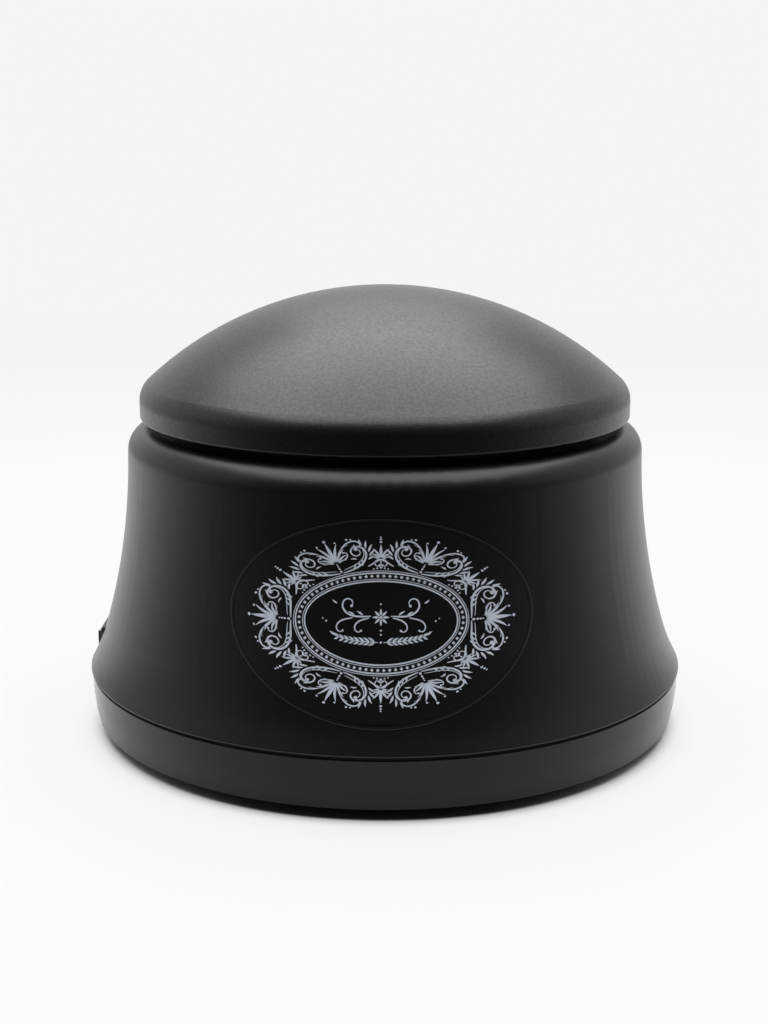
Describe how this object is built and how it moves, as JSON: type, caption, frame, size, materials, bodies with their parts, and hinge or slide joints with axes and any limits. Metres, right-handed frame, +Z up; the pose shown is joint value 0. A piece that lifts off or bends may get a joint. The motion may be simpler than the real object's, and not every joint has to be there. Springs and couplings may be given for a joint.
{
  "type": "gel polish remover",
  "caption": "Table-top nail gel remover: flared bell housing on a round tray, domed lift-off lid, lift-out finger deck over a heated bowl, side rocker switch.",
  "frame": {"origin": "on the surface that the rubber feet stand on, at the centre of the machine", "axes": "+Z up; -Y is the front with the oval nameplate; +X to the right of someone facing the front; the switch is on the -X side and the power jack at the back"},
  "size_m": [0.2007, 0.2007, 0.1469],
  "materials": {
    "housing_plastic": "soft-touch matte black, fine grain",
    "nameplate_print": "black plate with a pale silver scroll ornament",
    "deck_plastic": "satin black",
    "switch_plastic": "satin black moulded",
    "silicone": "matt grey silicone",
    "foot_rubber": "matt black",
    "bowl_aluminium": "satin drawn",
    "fastener_steel": "zinc plated",
    "contact_nickel": "nickel plated",
    "heater_casing": "matt, tan insulation on its rim",
    "clamp_steel": "zinc plated pressing",
    "thermostat_case": "dark brown phenolic with a metal cap",
    "fuse_barrel": "plain metal barrel",
    "board_laminate": "green solder resist",
    "relay_case": "blue moulded case",
    "capacitor_sleeve": "shrunk dark sleeve, bare metal top",
    "terminal_plastic": "green moulded",
    "lead_insulation": "red and black insulation"
  },
  "bodies": {
    "housing": {"base_tray": "housing_plastic", "board_screws": "fastener_steel", "bowl_screws": "fastener_steel", "capacitor": "capacitor_sleeve", "chamber_gasket": "silicone", "clamp_nuts": "fastener_steel", "control_board": "board_laminate", "heater_clamp": "clamp_steel", "heater_disc": "heater_casing", "heater_leads": "lead_insulation", "housing_screws": "fastener_steel", "jack_body": "switch_plastic", "jack_leads": "lead_insulation", "jack_nut": "contact_nickel", "jack_pin": "contact_nickel", "nameplate": "nameplate_print", "relay": "relay_case", "rubber_foot_1": "foot_rubber", "rubber_foot_2": "foot_rubber", "rubber_foot_3": "foot_rubber", "rubber_foot_4": "foot_rubber", "switch_body": "switch_plastic", "switch_leads": "lead_insulation", "terminal_block": "terminal_plastic", "thermal_fuse": "fuse_barrel", "thermostat": "thermostat_case", "upper_housing": "housing_plastic", "vapour_bowl": "bowl_aluminium"},
    "power_rocker": {"power_rocker": "switch_plastic"},
    "finger_deck": {"finger_deck": "deck_plastic", "finger_sleeve_1": "silicone", "finger_sleeve_2": "silicone", "finger_sleeve_3": "silicone", "finger_sleeve_4": "silicone", "thumb_sleeve": "silicone"},
    "lid": {"lid_shell": "housing_plastic", "lid_liner": "deck_plastic", "lid_seal": "silicone", "lid_screws": "fastener_steel"}
  },
  "joints": [
    {"name": "rocker_tip", "type": "hinge", "parent": "housing", "child": "power_rocker", "pos_m": [-0.0948, 0, 0.02575], "axis": [0, 0, 1], "range_deg": [0, 14]},
    {"name": "deck_lift", "type": "slide", "parent": "housing", "child": "finger_deck", "axis": [0, 0, 1], "range_m": [0, 0.04]},
    {"name": "lid_lift", "type": "slide", "parent": "finger_deck", "child": "lid", "axis": [0, 0, 1], "range_m": [0, 0.06]}
  ]
}
